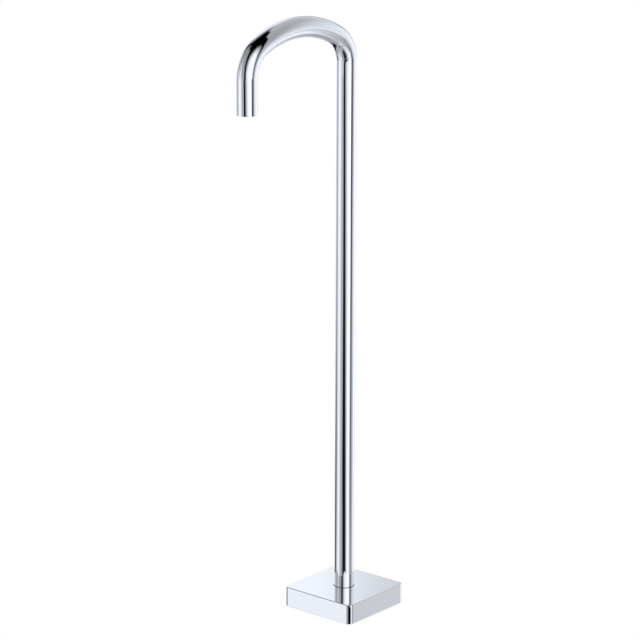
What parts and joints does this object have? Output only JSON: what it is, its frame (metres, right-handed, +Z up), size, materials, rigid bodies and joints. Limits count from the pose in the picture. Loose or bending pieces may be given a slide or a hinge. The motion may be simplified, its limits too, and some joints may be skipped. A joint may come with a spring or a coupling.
{
  "type": "floor standing bath filler",
  "caption": "Floor standing bath spout: a bent tube with an arched top rises from a square floor cover and pours down into a bath.",
  "frame": {"origin": "on the floor, on the axis of the riser, at the centre of the four fixing holes", "axes": "+Z up along the riser, -Y the way the spout points at rest, X across, with the square cover's sides along X and Y"},
  "size_m": [0.15, 0.3425, 1.0489],
  "materials": {
    "chrome": "polished chrome plating on brass tube",
    "cover_chrome": "polished chrome plating on pressed metal",
    "aerator_chrome": "chrome plated ring",
    "brass": "machined brass",
    "plate_steel": "turned stainless steel",
    "steel": "stainless set screws",
    "sieve": "stainless sieve",
    "rubber": "black rubber",
    "foam": "black foam strip",
    "acetal": "white acetal"
  },
  "bodies": {
    "floor_base": {"floor_gasket": "rubber", "floor_plate": "plate_steel", "supply_stem": "brass", "inlet_strainer": "sieve", "thrust_washer": "acetal", "stem_guide_rings": "acetal", "stem_o_rings": "rubber"},
    "spout": {"spout_tube": "chrome", "riser_socket": "brass", "locking_screws": "steel", "outlet_sleeve": "brass", "aerator_housing": "aerator_chrome", "aerator_washer": "rubber", "flow_restrictor": "acetal", "jet_plate": "acetal", "mixing_screens": "sieve", "flow_straightener": "acetal"},
    "cover": {"cover_shell": "cover_chrome", "cover_neck": "brass", "cover_o_ring": "rubber", "cover_rim_seal": "foam"}
  },
  "joints": [
    {"name": "spout_swivel", "type": "hinge", "parent": "floor_base", "child": "spout", "pos_m": [0, 0, 0.0145], "axis": [0, 0, 1], "continuous": true},
    {"name": "cover_lift", "type": "slide", "parent": "floor_base", "child": "cover", "axis": [0, 0, 1], "range_m": [0, 0.92]}
  ]
}
